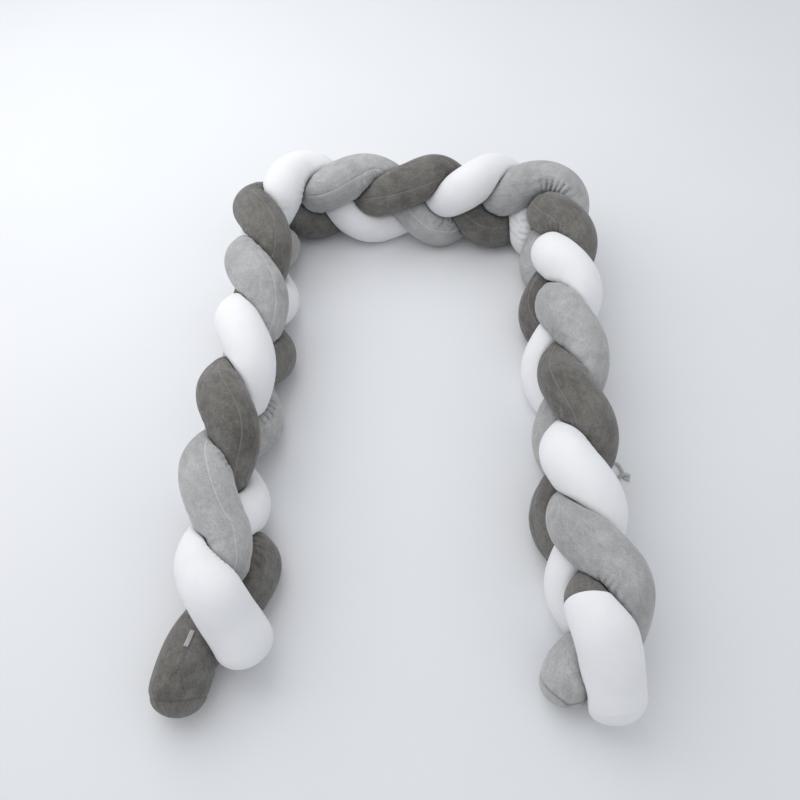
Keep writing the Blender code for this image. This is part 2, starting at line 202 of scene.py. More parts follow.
# Where a cover is gathered most, beside a tube that lies across it. Overs and degrees are its
# place, as in SEAMS, each with how far it spreads to either side; depth, pitch and reach are those
# of its pleats.
GATHERS = {
    "white": (
        # overs, spread, degrees, spread, depth, pitch, reach
        (0.10, 0.30, 40, 40, 0.0030, 0.0085, 0.008),
        (5.70, 0.32, -6, 42, 0.0060, 0.0085, 0.010),
        (10.12, 0.18, 52, 40, 0.0085, 0.0120, 0.028),
    ),
    "light": (
        (1.03, 0.38, 34, 26, 0.0068, 0.0095, 0.018),
        (2.20, 0.22, 48, 22, 0.0060, 0.0120, 0.024),
        (3.95, 0.30, 40, 35, 0.0016, 0.0100, 0.014),
        (7.08, 0.22, 25, 38, 0.0026, 0.0090, 0.010),
        (8.27, 0.14, 37, 30, 0.0028, 0.0095, 0.014),
        (10.16, 0.22, 52, 44, 0.0120, 0.0130, 0.013),
        (16.25, 0.15, 34, 34, 0.0036, 0.0100, 0.012),
    ),
    "dark": (
        (0.50, 0.12, 60, 18, 0.0100, 0.0095, 0.016),
        (1.88, 0.14, 132, 30, 0.0046, 0.0100, 0.014),
        (2.06, 0.14, 112, 34, 0.0030, 0.0120, 0.024),
        (5.30, 0.16, 78, 32, 0.0030, 0.0100, 0.014),
        (11.07, 0.16, 24, 30, 0.0044, 0.0100, 0.014),
        (14.6, 0.14, 40, 28, 0.0026, 0.0100, 0.014),
    ),
}
PLEAT_DRIFT = 0.4           # of the pitch, by which pleats are uneven
PLEAT_PATCH = 0.035         # over which they change
FAINTEST_GATHER = 0.05      # below this a gather is on the tube's other piece

# The seam that closes a cover at its first and last tip, where one shows: how far from the tip it
# comes nearest to it, how much further at the sides, the angle round the tube where it is nearest,
# and its depth
CLOSING_SEAMS = {
    "white": (None, None),
    "light": ((0.020, 0.0, 90, 0.0010), (0.002, 0.022, 99, 0.0030)),
    "dark": ((0.014, 0.013, 90, 0.0020), None),
}
# widths of a closing seam's groove, of the creases about it, and of the painted shade along it
CLOSING_WIDTH, CLOSING_REACH, CLOSING_SHADE = 0.0022, 0.010, 0.0014
CLOSING_GATHER, GATHER_CELL = 0.6, (0.060, 0.009)   # creases that run into it
DARKEST_GROOVE = 0.004      # depth at which a closing seam's painted shade is as dark as a pleat's


# ------------------------------------------------------------------ camera and light
CAMERA_PLACE = (0.0187, -0.6545, 1.00848)
CAMERA_TURNS = (0.98062, -0.04415, -0.02771)    # pitch downwards, yaw and roll, in radians
SENSOR, LENS = 36.0, 33.46                      # millimetres


def make_camera():
    """The photograph's view, with its lens, place and turns as found on straight lines in it."""
    pitch, yaw, roll = CAMERA_TURNS
    data = bpy.data.cameras.new("camera")
    data.sensor_width, data.lens = SENSOR, LENS
    forward = np.array((math.sin(yaw) * math.cos(pitch), math.cos(yaw) * math.cos(pitch),
                        -math.sin(pitch)))
    right = np.array((math.cos(yaw), -math.sin(yaw), 0.0))
    up = np.cross(right, forward)
    right, up = (math.cos(roll) * right + math.sin(roll) * up,
                 math.cos(roll) * up - math.sin(roll) * right)
    matrix = np.eye(4)
    matrix[:3, 0], matrix[:3, 1], matrix[:3, 2] = right, up, -forward
    matrix[:3, 3] = CAMERA_PLACE
    camera = bpy.data.objects.new("camera", data)
    camera.matrix_world = Matrix(matrix.tolist())
    bpy.context.scene.collection.objects.link(camera)
    bpy.context.scene.camera = camera


def make_light(name, place, towards, size, power):
    """A square soft light at a place, turned towards another."""
    data = bpy.data.lights.new(name, "AREA")
    data.shape, data.size, data.energy = "SQUARE", size, power
    light = bpy.data.objects.new(name, data)
    back = np.subtract(place, towards) / np.linalg.norm(np.subtract(place, towards))
    side = np.cross((0.0, 1.0, 0.02), back)
    side /= np.linalg.norm(side)
    matrix = np.eye(4)
    matrix[:3, 0], matrix[:3, 1], matrix[:3, 2] = side, np.cross(back, side), back
    matrix[:3, 3] = place
    light.matrix_world = Matrix(matrix.tolist())
    bpy.context.scene.collection.objects.link(light)


def make_studio():
    """Even light from all round, one large soft light, and a pale floor."""
    world = bpy.data.worlds.new("studio")
    world.use_nodes = True
    background = world.node_tree.nodes["Background"]
    background.inputs["Color"].default_value = (0.95, 0.97, 1.0, 1)
    background.inputs["Strength"].default_value = 0.75
    bpy.context.scene.world = world
    bpy.context.scene.view_settings.view_transform = "Standard"
    make_light("softbox", place=(-0.68, 0.64, 1.25), towards=(0.0, 0.22, 0.0), size=1.8, power=13.6)

    far = 4.0
    corners = [(-far, -far, 0), (far, -far, 0), (far, far, 0), (-far, far, 0)]
    floor = bpy.data.meshes.new("floor")
    floor.from_pydata(corners, [], [(0, 1, 2, 3)])
    floor.materials.append(make_floor_finish())
    stage = bpy.data.objects.new("floor", floor)
    bpy.context.scene.collection.objects.link(stage)


# ------------------------------------------------------------------ finishes
class Wire:
    """A node's output. Ordinary sums on wires add Math nodes."""

    def __init__(self, finish, socket):
        self.finish, self.socket = finish, socket

    def maths(self, operation, *values):
        return self.finish.node("Math", {"operation": operation}, dict(enumerate(values)))

    def __add__(self, other):
        return self.maths("ADD", self, other)

    def __sub__(self, other):
        return self.maths("SUBTRACT", self, other)

    def __rsub__(self, other):
        return self.maths("SUBTRACT", other, self)

    def __mul__(self, other):
        return self.maths("MULTIPLY", self, other)

    def __truediv__(self, other):
        return self.maths("DIVIDE", self, other)

    __radd__, __rmul__ = __add__, __mul__

    def absolute(self):
        return self.maths("ABSOLUTE", self)

    def wave(self):
        """From 1 to 0 and back as this grows by 1."""
        turns = self * (2 * math.pi)
        return 0.5 + 0.5 * turns.maths("COSINE", turns)

    def between(self, low, high):
        """0 up to low, 1 from high on, and smooth between them."""
        return self.finish.node("MapRange", {"interpolation_type": "SMOOTHSTEP"},
                                {"Value": self, "From Min": low, "From Max": high})


class Finish:
    """A material whose nodes are being joined up."""

    def __init__(self, name, **constants):
        self.material = bpy.data.materials.new(name)
        self.material.use_nodes = True
        self.tree = self.material.node_tree
        self.shader = self.tree.nodes["Principled BSDF"]
        for socket, value in constants.items():
            self.shader.inputs[socket.replace("_", " ")].default_value = value

    def node(self, kind, settings=None, sockets=None, output=0):
        """A node of this kind with its settings, then its sockets, and one of its outputs."""
        made = self.tree.nodes.new("ShaderNode" + kind)
        for name, value in (settings or {}).items():
            setattr(made, name, value)
        for name, value in (sockets or {}).items():
            self.join(value, made.inputs[name])
        return Wire(self, made.outputs[output])

    def join(self, value, socket):
        if isinstance(value, Wire):
            self.tree.links.new(value.socket, socket)
        else:
            socket.default_value = value

    def noise(self, place, scale, detail=2.0, roughness=0.5):
        return self.node("TexNoise", {}, {"Vector": place, "Scale": scale, "Detail": detail,
                                          "Roughness": roughness})

    def stretched(self, place, *factors):
        """The place times a factor on each axis."""
        return self.node("VectorMath", {"operation": "MULTIPLY"}, {0: place, 1: factors})

    def tint(self, colour, other, share):
        """A colour, mixed with another by this share."""
        first = (*colour, 1) if isinstance(colour, tuple) else colour
        return self.node("Mix", {"data_type": "RGBA"}, {0: share, 6: first, 7: (*other, 1)},
                         output=2)

    def bump(self, height, distance):
        return self.node("Bump", {}, {"Height": height, "Distance": distance, "Strength": 1.0})

    def done(self, colour, roughness, normal):
        self.join(colour, self.shader.inputs["Base Color"])
        self.join(roughness, self.shader.inputs["Roughness"])
        self.join(normal, self.shader.inputs["Normal"])
        return self.material

    def room_place(self):
        return self.node("TexCoord", output=3)

    def cloth_place(self):
        """The place on the cloth, and its distances across from the seam and along."""
        cloth = self.node("UVMap", {"uv_map": "cloth"})
        parts = self.node("SeparateXYZ", {}, {0: cloth}).socket.node.outputs
        return cloth, Wire(self, parts[0]), Wire(self, parts[1])

    def creases(self):
        """Painted shade for the creases: 1 deep in a crease, 0 where the cover lies smooth."""
        return self.node("Attribute", {"attribute_name": "crease_shade"}, output=2)


def make_floor_finish():
    finish = Finish("pale_floor", Specular_IOR_Level=0.2)
    place = finish.room_place()
    cloud = finish.noise(place, scale=3.0)
    grain = finish.noise(place, scale=900.0)
    colour = finish.tint((0.76, 0.77, 0.79), (0.80, 0.81, 0.83), cloud)
    return finish.done(colour, 0.85, finish.bump(grain, distance=0.0001))


def make_velour(name, brushed, plain, crease_shade_colour, seam, sheen):
    """Short pile that lies in streaks and patches, lighter where it is brushed up, with painted
    shade in its creases.
    """
    finish = Finish(name, Sheen_Weight=sheen, Sheen_Roughness=0.4, Specular_IOR_Level=0.12)
    cloth, across, _ = finish.cloth_place()
    place = finish.room_place()
    stray = 0.016               # metres by which the streaks wander
    wander = finish.node("TexNoise", {}, {"Vector": place, "Scale": 45.0, "Detail": 2.0}, output=1)
    strayed = finish.node("VectorMath", {"operation": "ADD"},
                          {0: cloth, 1: finish.stretched(wander, stray, stray, 0.0)})
    patches = finish.noise(strayed, scale=85.0, detail=4.0, roughness=0.6).between(0.36, 0.66)
    strokes = finish.noise(finish.stretched(strayed, 150.0, 60.0, 1.0), scale=1.0, detail=3.0,
                           roughness=0.6).between(0.46, 0.72)
    broad = finish.noise(place, scale=13.0).between(0.35, 0.65)
    tufts = finish.noise(place, scale=420.0, detail=3.0, roughness=0.65)
    pile = finish.noise(place, scale=1600.0, roughness=0.6)

    lie = 0.20 * patches + 0.14 * strokes + 0.30 * broad + 0.36 * tufts.between(0.25, 0.75)
    thread = 1 - across.absolute().between(0.0004, 0.0013)
    colour = finish.tint(plain, brushed, lie)
    colour = finish.tint(colour, seam, 0.65 * thread)
    # painted shade: darkened in pleats and along closing seams, where shade falls
    colour = finish.tint(colour, crease_shade_colour, 0.85 * finish.creases())
    height = 0.4 * pile + 0.6 * tufts + 0.7 * strokes + 0.5 * patches
    return finish.done(colour, 0.95 - 0.15 * patches, finish.bump(height, distance=0.0008))


def make_jersey(name, plain, shaded, crease_shade_colour):
    """Smooth knit: columns of small stitches, each a V, with painted shade in its creases."""
    finish = Finish(name, Sheen_Weight=0.12, Sheen_Roughness=0.5, Specular_IOR_Level=0.2)
    _, across, along = finish.cloth_place()
    place = finish.room_place()
    wale, course = 0.00115, 0.00095     # a stitch's width and height
    column = across / wale
    lean = (column.maths("FRACT", column) - 0.5).absolute()
    row = (along / course + lean * 1.2).wave()
    stitch = column.wave() * (0.45 + 0.55 * row)
    patches = finish.noise(place, scale=22.0, detail=3.0, roughness=0.55).between(0.35, 0.7)
    fuzz = finish.noise(place, scale=1100.0, roughness=0.6)

    colour = finish.tint(plain, shaded, 0.4 * patches + 0.25 * (1 - stitch) + 0.2 * fuzz)
    # painted shade: greyed in pleats and along closing seams, where shade falls
    colour = finish.tint(colour, crease_shade_colour, 0.6 * finish.creases())
    height = 0.7 * stitch + 0.3 * fuzz
    return finish.done(colour, 0.82 + 0.1 * fuzz, finish.bump(height, distance=0.00028))


def make_tape_finish(name, plain, shaded, pitch):
    """Narrow woven tape with a slanting rib."""
    finish = Finish(name, Sheen_Weight=0.1, Sheen_Roughness=0.5, Specular_IOR_Level=0.25)
    _, across, along = finish.cloth_place()
    rib = ((across + along) / pitch).wave()
    fuzz = finish.noise(finish.room_place(), scale=1300.0)
    colour = finish.tint(plain, shaded, 0.6 * (1 - rib) + 0.3 * fuzz)
    height = 0.8 * rib + 0.3 * fuzz
    return finish.done(colour, 0.75 + 0.1 * fuzz, finish.bump(height, distance=0.0003))


# ------------------------------------------------------------------ the plait's middle line
def plan_point(station):
    """The middle line's place and outward direction, this far along it."""
    straight = HEAD_DISTANCE - CORNER_RADIUS
    corner = CORNER_RADIUS * math.pi / 2
    across = ARM_SPREAD - 2 * CORNER_RADIUS
    half = ARM_SPREAD / 2
    if station < straight:
        x, y, turn = -half, station, 0.0
    elif station < straight + corner:
        turn = (station - straight) / CORNER_RADIUS
        x = -half + CORNER_RADIUS * (1 - math.cos(turn))
        y = straight + CORNER_RADIUS * math.sin(turn)
    elif station < straight + corner + across:
        x, y = -half + CORNER_RADIUS + station - straight - corner, HEAD_DISTANCE
        turn = math.pi / 2
    elif station < straight + 2 * corner + across:
        turn = math.pi / 2 + (station - straight - corner - across) / CORNER_RADIUS
        x = half - CORNER_RADIUS - CORNER_RADIUS * math.cos(turn)
        y = straight + CORNER_RADIUS * math.sin(turn)
    else:
        x, y, turn = half, 2 * straight + 2 * corner + across - station, math.pi
    return (x, y + PLAIT_START), (-math.cos(turn), math.sin(turn))


def curve_between(p0, p1, p2, p3, t):
    """A Catmull-Rom curve from p1 to p2."""
    return 0.5 * (2 * p1 + (p2 - p0) * t + (2 * p0 - 5 * p1 + 4 * p2 - p3) * t ** 2
                  + (3 * p1 - p0 - 3 * p2 + p3) * t ** 3)


def read_column(at, column):
    """A table's column, read smoothly between its rows and straight on outside them."""
    last = len(column) - 1
    row = min(max(math.floor(at), 0), last - 1)
    t = at - row
    p1, p2 = column[row], column[row + 1]
    if t < 0 or t > 1:
        end = p1 if t < 0 else p2
        return end + (p2 - p1) * (t if t < 0 else t - 1)
    p0 = column[row - 1] if row > 0 else 2 * p1 - p2
    p3 = column[row + 2] if row + 2 <= last else 2 * p2 - p1
    return curve_between(p0, p1, p2, p3, t)


def plait_point(over, tube):
    """The middle of a tube at a place in the plait, counted in passes over the top."""
    stations, rises, outs, low_outs, depths = zip(*OVERS)
    turns = (over - TUBES.index(tube)) / len(TUBES)
    swing = 2 * math.pi * turns + math.pi / 2
    (x, y), (out_x, out_y) = plan_point(read_column(over, stations))
    on_top = (1 + math.sin(swing)) / 2
    shift = read_column(over, outs) * on_top + read_column(over - 0.5, low_outs) * (1 - on_top)
    own_depth = depths[min(round(turns) * len(TUBES) + TUBES.index(tube), len(depths) - 1)]
    depth = own_depth * on_top + LOW_DEPTH * (1 - on_top)
    sideways = shift - depth * math.sin(2 * (swing - SWING_LAG)) + PLAIT_LEAN * math.sin(swing)
    height = LOW_CENTRE + 2 * read_column(over, rises) * on_top
    return (x + out_x * sideways, y + out_y * sideways, height)


def smooth_curve(points, steps):
    """Points of a smooth curve through the given ones."""
    p = np.asarray(points, float)
    p = np.vstack([2 * p[0] - p[1], p, 2 * p[-1] - p[-2]])
    t = np.linspace(0, 1, steps, endpoint=False)[:, None]
    spans = [curve_between(*p[i:i + 4], t) for i in range(len(p) - 3)]
    return np.vstack(spans + [p[-2]])


def distances_along(points):
    return np.r_[0, np.cumsum(np.linalg.norm(np.diff(points, axis=0), axis=1))]


def even_points(points, step):
    """The same line with points at even distances, and those distances."""
    along = distances_along(points)
    at = np.linspace(0, along[-1], max(round(along[-1] / step), 2) + 1)
    return read_line(points, along, at), at


def read_line(points, along, at):
    """A line's points, or what else is known of them, at some distances along it."""
    return np.stack([np.interp(at, along, points[:, axis]) for axis in range(3)], axis=1)


def from_datum(points):
    """The points moved from the drawing's datum to the part's own origin."""
    return np.asarray(points, float) - (MIDDLE[0], MIDDLE[1], 0.0)


def tube_route(tube):
    """The middle line of one tube with its loose ends, the distances along it, its full radius,
    and its passes over the top with their distances."""
    first, last = PLAITED[tube]
    count = round((last - first) * POINTS_A_PASS)
    overs = [first + (last - first) * i / count for i in range(count + 1)]
    points = [*LEFT_END[tube], *(plait_point(over, tube) for over in overs), *RIGHT_END[tube]]
    curve = smooth_curve(from_datum(points), CURVE_STEPS)
    middle, along = even_points(curve, ROUTE_STEP)
    first_plaited = len(LEFT_END[tube])
    passes = distances_along(curve)[::CURVE_STEPS][first_plaited:first_plaited + count + 1]
    loose = PASS_LENGTH * np.array((-1, 1)) + passes[[0, -1]]
    counted = ([first - 1, *overs, last + 1], [loose[0], *passes, loose[1]])
    full_at, fullness = zip(*FULLNESS[tube])
    full = np.interp(np.interp(along, counted[1], counted[0]), full_at, fullness)
    return middle, along, TUBE_RADIUS * full, counted


# ------------------------------------------------------------------ a tube's skin
def soft_min(a, b, rounding):
    """The lesser of two lengths, rounded off where they meet."""
    blend = np.maximum(rounding - np.abs(a - b), 0) / rounding
    return np.minimum(a, b) - blend ** 2 * rounding / 4


def smoothed(rows, times):
    """Rows evened out with those before and after them."""
    for _ in range(times):
        rows[1:-1] = (rows[:-2] + rows[1:-1] + rows[2:]) / 3
    return rows


def unit(rows):
    return rows / np.linalg.norm(rows, axis=-1, keepdims=True)


def settled(radius, share):
    """The radii evened out a little, and more at the tips, where they jump most."""
    weight = EVENING + (1 - EVENING) * (1 - step_up(share, *EVEN_TIPS))
    for _ in range(EVENING_ROUNDS):
        even = (np.roll(radius, 1, axis=1) + 2 * radius + np.roll(radius, -1, axis=1)) / 4
        even[1:-1] = (even[:-2] + 2 * even[1:-1] + even[2:]) / 4
        radius = radius + (even - radius) * weight
    return radius


def step_up(values, low, high):
    """0 up to low, 1 from high on, and smooth between them."""
    t = np.clip((values - low) / (high - low), 0, 1)
    return t * t * (3 - 2 * t)


def noise(places, seed):
    """Smooth noise from -1 to 1 over points whose cells are 1 wide."""
    size = 32
    lattice = np.random.default_rng(seed).uniform(-1, 1, (size, size, size))
    low = np.floor(places).astype(int)
    t = places - low
    t = t * t * (3 - 2 * t)
    total = np.zeros(places.shape[:-1])
    for corner in np.ndindex(2, 2, 2):
        weight = np.prod(np.where(corner, t, 1 - t), axis=-1)
        total += weight * lattice[tuple(np.moveaxis((low + corner) % size, -1, 0))]
    return total


def creases(values):
    """Noise turned into narrow valleys between round backs: 1 in a valley, 0 on a back."""
    return (1 - np.minimum(np.abs(values) * 2.0, 1)) ** 1.3


def ring_places(length):
    """Distances of the rings along a tube, closer together at its round tips."""
    tip = TUBE_RADIUS * (1 - np.cos(np.linspace(0, math.pi / 2, TIP_RINGS + 1)[1:]))
    count = int((length - 2 * TUBE_RADIUS) / RING_STEP)
    middle = np.linspace(TUBE_RADIUS, length - TUBE_RADIUS, count + 1)[1:-1]
    return np.r_[tip, middle, length - tip[::-1]]


def tip_share(places, length):
    """How much of its full radius a tube has near its tips."""
    inside = np.minimum(places, length - places) / TUBE_RADIUS
    return np.sqrt(np.maximum(1 - np.clip(1 - inside, 0, 1) ** TIP_FULLNESS, 0))


def contact_distance(centres, radii, spokes, others):
    """How far each spoke goes before it meets the face shared with another tube.

    That face is square to the line between two middles, where both tubes are as far inside.
    """
    other_middles, other_radii = others
    distances = np.full(spokes.shape[:2], REACH)
    for i, (centre, radius) in enumerate(zip(centres, radii)):
        away = other_middles - centre
        apart = np.linalg.norm(away, axis=1)
        near = apart < 4 * TUBE_RADIUS      # others can't touch it
        towards = spokes[i] @ away[near].T
        shared = apart[near] ** 2 + radius ** 2 - other_radii[near] ** 2
        shared = (shared - apart[near] * CONTACT_GAP) / 2
        reached = np.where(towards > 1e-6, shared / np.maximum(towards, 1e-6), REACH)
        distances[i] = reached.min(axis=1)
    return distances


def seam_angles(tube, passes, places):
    """The seam's angle round the tube at each ring, without corners."""
    overs, degrees = zip(*SEAMS[tube])
    even = np.arange(0, places[-1], SEAM_STEP)
    turns = np.interp(np.interp(even, passes[1], passes[0]), overs, degrees)
    return np.radians(np.interp(places, even, smoothed(turns, SMOOTH_SEAMS)))


def column_offsets():
    """Angles of the mesh lines round a tube from its seam, closest together beside it."""
    near = np.array(SEAM_COLUMNS) / TUBE_RADIUS
    far = np.linspace(near[-1], 2 * math.pi - near[-1], PLAIN_COLUMNS + 1)[1:-1]
    return np.r_[near, far, 2 * math.pi - near[:0:-1]]


def skin_noise(along, angles, cell, seed):
    """Noise over a tube's skin, whose cells have this length and width."""
    return noise(np.stack([along / cell[0], TUBE_RADIUS * np.cos(angles) / cell[1],
                           TUBE_RADIUS * np.sin(angles) / cell[1]], axis=-1), seed)


def fading(distance, reach):
    return np.exp(-(distance / reach) ** 2)


def beside(distance, reach):
    """1 along a contact's line, and fading outwards over this reach."""
    return fading(np.maximum(distance, 0), reach) * step_up(distance, *CREASES_FADE)


def turned_from(degrees, angles):
    """Degrees round the tube from a place on it to each angle."""
    return (np.degrees(angles) - degrees + 180) % 360 - 180


def contact_line(along, angles, excess, places, offsets):
    """Each point's distance from the line where two tubes meet, its foot on that line, and the
    slope of the cover towards it.

    Excess is how far a point would reach into the other tube.
    """
    excess = np.maximum(excess, -WIDEST_GAP)
    slope_along, slope_round = np.gradient(excess, places, offsets * TUBE_RADIUS)
    slope = np.maximum(np.hypot(slope_along, slope_round), LEAST_SLOPE)
    distance = -excess / slope
    foot = along + distance * slope_along / slope
    foot_angle = angles + distance * slope_round / slope / TUBE_RADIUS
    return distance, (foot, foot_angle), (slope_along, slope_round)


def gathers(tube, overs, angles, uneven, distance, foot, slopes):
    """Pleats side by side along lines of contact: their depth, and the painted shade each point
    gets in their valleys.
    """
    depth, crease_shade = np.zeros(angles.shape), np.zeros(angles.shape)
    for over, span, degrees, spread, deep, pitch, reach in GATHERS[tube]:
        turn = turned_from(degrees, angles)
        window = np.exp(-((overs - over) / span) ** 4 - (turn / spread) ** 4)
        window = window * beside(distance, reach)
        if window.max() < FAINTEST_GATHER:
            continue
        towards = unit(np.array([(window * slope).sum() for slope in slopes]))
        counted = (foot[0] * towards[1] - foot[1] * TUBE_RADIUS * towards[0]) / pitch
        pleats = (1 - np.abs(np.sin(math.pi * (counted + PLEAT_DRIFT * uneven)))) ** 1.2
        depth += (pleats - BACK_SHARE) * (0.75 + 0.5 * uneven) * window * deep
        # painted shade, deepest in the pleats' valleys
        crease_shade = np.maximum(crease_shade, pleats ** 1.5 * window)
    return depth, crease_shade


def closing_seams(tube, along, angles, length, seed):
    """The seams that close the cover at its tips: their depth, and the painted shade along them."""
    depth, crease_shade = np.zeros(angles.shape), np.zeros(angles.shape)
    for tip, seam in zip((0.0, length), CLOSING_SEAMS[tube]):
        if seam is None:
            continue
        nearest, further, degrees, deep = seam
        at = nearest + further * (turned_from(degrees, angles) / 90) ** 2
        distance = np.abs(np.abs(along - tip) - at)
        gathered = CLOSING_GATHER * creases(skin_noise(along, angles, GATHER_CELL, seed))
        depth += deep * fading(distance, CLOSING_WIDTH)
        depth += deep * fading(distance, CLOSING_REACH) * gathered
        # painted shade along the seam, darker the deeper the seam
        shade = min(deep / DARKEST_GROOVE, 1)
        crease_shade = np.maximum(crease_shade, shade * fading(distance, CLOSING_SHADE))
    return depth, crease_shade


def drape(tube, cover, passes, length, places, offsets, angles, excess, inward, share):
    """How far the cover lies below a smooth tube, and the painted shade in its creases at each
    point.
    """
    fold_depth, pucker_depth, wrinkle_depth, groove_depth = DRAPE[cover]
    seed = 10 * TUBES.index(tube)
    along = np.broadcast_to(places[:, None], angles.shape)
    depth = LUMP * skin_noise(along, angles, LUMP_CELL, seed)

    # folds across the inside of a bend
    tight = step_up(inward * TUBE_RADIUS, FOLDS_FROM, FOLDS_TO)
    strayed = along + FOLD_STRAY * skin_noise(along, angles, STRAY_CELL, seed + 1)
    depth += fold_depth * tight * creases(skin_noise(strayed, angles, FOLD_CELL, seed + 2))

    # creases away from the line where two tubes meet: each point looks back to its foot on that
    # line, so a crease keeps its depth all the way out
    distance, foot, slopes = contact_line(along, angles, excess, places, offsets)
    patches = step_up(skin_noise(along, angles, PUCKER_PATCH, seed + 4), -0.2, 0.5)
    puckers = creases(skin_noise(*foot, (PUCKER_PITCH, PUCKER_PITCH), seed + 3)) - BACK_SHARE
    wrinkles = creases(skin_noise(*foot, (WRINKLE_PITCH, WRINKLE_PITCH), seed + 8)) - BACK_SHARE
    depth += pucker_depth * patches * puckers * beside(distance, PUCKER_REACH)
    depth += wrinkle_depth * wrinkles * beside(distance, WRINKLE_REACH)
    overs = np.interp(places, passes[1], passes[0])[:, None]
    uneven = skin_noise(along, angles, (PLEAT_PATCH, PLEAT_PATCH), seed + 9)
    pleated, crease_shade = gathers(tube, overs, angles, uneven, distance, foot, slopes)

    # the lengthwise seam and what it gathers, and the seams at the tips
    across = np.minimum(offsets, 2 * math.pi - offsets) * TUBE_RADIUS
    ruffle = creases(skin_noise(along, angles, RUFFLE_CELL, seed + 5))
    groove = fading(across, SEAM_WIDTH) + HOLLOW_SHARE * fading(across, SEAM_HOLLOW)
    depth += groove_depth * (groove + ruffle * fading(across, RUFFLE_REACH))
    closed, shaded = closing_seams(tube, along, angles, length, seed + 6)
    depth = (depth + pleated + closed) * step_up(share, 0.0, 0.5)
    return depth, np.maximum(crease_shade, shaded)


def tube_skin(tube, cover, routes, places, wider=0.0):
    """A tube's middle and rings of points, squeezed by its neighbours, and what the cloth needs,
    with its painted crease shade.
    """
    middle, along, radii, passes = routes[tube]
    length = along[-1]
    heading = unit(smoothed(np.gradient(middle, axis=0), SMOOTH_HEADINGS))
    bend = smoothed(np.gradient(heading, along, axis=0), SMOOTH_BENDS)
    centres = read_line(middle, along, places)
    ahead = unit(read_line(heading, along, places))
    upright = unit(np.array((0.0, 0.0, 1.0)) - ahead[:, 2:] * ahead)
    side = np.cross(ahead, upright)
    offsets = column_offsets()
    angles = seam_angles(tube, passes, places)[:, None] + offsets[None, :]
    spokes = (side[:, None] * np.cos(angles)[..., None]
              + upright[:, None] * np.sin(angles)[..., None])

    share = tip_share(places, length)[:, None]
    full = np.interp(places, along, radii)[:, None] * share
    contact = contact_distance(centres, full[:, 0], spokes, neighbours(tube, routes))
    inward = np.einsum("nmk,nk->nm", spokes, read_line(bend, along, places))
    contact = np.minimum(contact, BEND_LIMIT / np.maximum(inward, BEND_LIMIT / REACH))
    floor = centres[:, 2:] / np.maximum(-spokes[..., 2], centres[:, 2:] / REACH)
    radius = soft_min(full + wider * share, contact, CONTACT_ROUNDING * share + 1e-5)
    depth, crease_shade = drape(tube, cover, passes, length, places, offsets, angles,
                           full - contact, inward, share)
    radius = settled(np.maximum(radius - depth, THINNEST), share)
    radius = np.maximum(soft_min(radius, floor, FLOOR_ROUNDING), THINNEST)
    return centres, centres[:, None] + spokes * radius[..., None], (offsets, places, crease_shade)


def neighbours(tube, routes):
    """The middles of the other tubes, and their full radius at each of those points."""
    others = [routes[name] for name in TUBES if name != tube]
    middles = np.vstack([middle for middle, _, _, _ in others])
    radii = np.concatenate([radii * tip_share(along, along[-1]) for _, along, radii, _ in others])
    return middles, radii


# ------------------------------------------------------------------ making the pieces
def make_piece(name, points, faces, cloth, finish, node, crease_shade=None):
    """A mesh with its places on the cloth, which stands for a node of the CAD model."""
    mesh = bpy.data.meshes.new(name)
    mesh.from_pydata(points.tolist(), [], faces)
    mesh.uv_layers.new(name="cloth")
    mesh.uv_layers["cloth"].data.foreach_set("uv", np.asarray(cloth, np.float32).ravel())
    # the painted crease shade, kept on the points for the finishes to darken with
    if crease_shade is not None:
        attribute = mesh.attributes.new("crease_shade", "FLOAT", "POINT")
        attribute.data.foreach_set("value", np.asarray(crease_shade, np.float32))
    mesh.shade_smooth()
    mesh.materials.append(finish)
    piece = bpy.data.objects.new(name, mesh)
    bpy.context.scene.collection.objects.link(piece)
    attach(piece, "root")
    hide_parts(node)
    return piece


def loft(name, rings, skin_places, first_tip, last_tip, finish, node):
    """A closed skin of four-sided faces over rings of points, drawn together at each end."""
    count, sides = rings.shape[:2]
    offsets, places, crease_shade = skin_places
    points = np.vstack([rings.reshape(-1, 3), first_tip, last_tip])
    ring, side = np.meshgrid(np.arange(count - 1), np.arange(sides), indexing="ij")
    next_side = (side + 1) % sides
    skin = np.stack([ring * sides + side, (ring + 1) * sides + side,
                     (ring + 1) * sides + next_side, ring * sides + next_side], axis=-1)
    # distance from the seam to either side of it, which jumps where the two halves meet
    girth = 2 * math.pi * TUBE_RADIUS
    around = np.r_[offsets, 2 * math.pi] * TUBE_RADIUS
    around = np.where(around > girth / 2, around - girth, around)
    left, right = around[side], np.where(side == sides - 1, 0.0, around[side + 1])
    wrapped = np.where(np.abs(right - left) > TUBE_RADIUS, left + girth / sides, right)
    low, high = places[ring], places[ring + 1]
    cloth = np.stack([left, low, left, high, wrapped, high, wrapped, low], axis=-1).reshape(-1, 2)
    faces = skin.reshape(-1, 4).tolist()
    caps = []
    for k in range(sides):
        following = (k + 1) % sides
        faces.append((count * sides, k, following))
        faces.append((count * sides + 1, (count - 1) * sides + following, (count - 1) * sides + k))
        caps += [(around[k], places[0])] * 3 + [(around[k], places[-1])] * 3
    return make_piece(name, points, faces, np.vstack([cloth, caps]), finish, node,
                      np.r_[crease_shade.ravel(), 0.0, 0.0])


def make_whole_tube(tube, routes, finish):
    """A stuffed tube with a round tip at both ends."""
    middle, along, _, _ = routes[tube]
    _, rings, cloth = tube_skin(tube, tube, routes, ring_places(along[-1]))
    piece = loft(tube + "_stuffed_tube", rings, cloth, middle[0], middle[-1],
                 finish, tube + "_tube")


def slanted(rings, centres, places, seam):
    """The rings about the cross seam, turned so that the seam lies askew."""
    fade = fading(places - seam, SLANT_FADES)
    ahead = unit(np.gradient(centres, axis=0))
    side = unit(np.cross(ahead, (0.0, 0.0, 1.0)))
    across = np.einsum("nmk,nk->nm", rings - centres[:, None], side) / TUBE_RADIUS
    return rings - ahead[:, None] * (across * (fade * SEAM_SLANT)[:, None])[..., None]


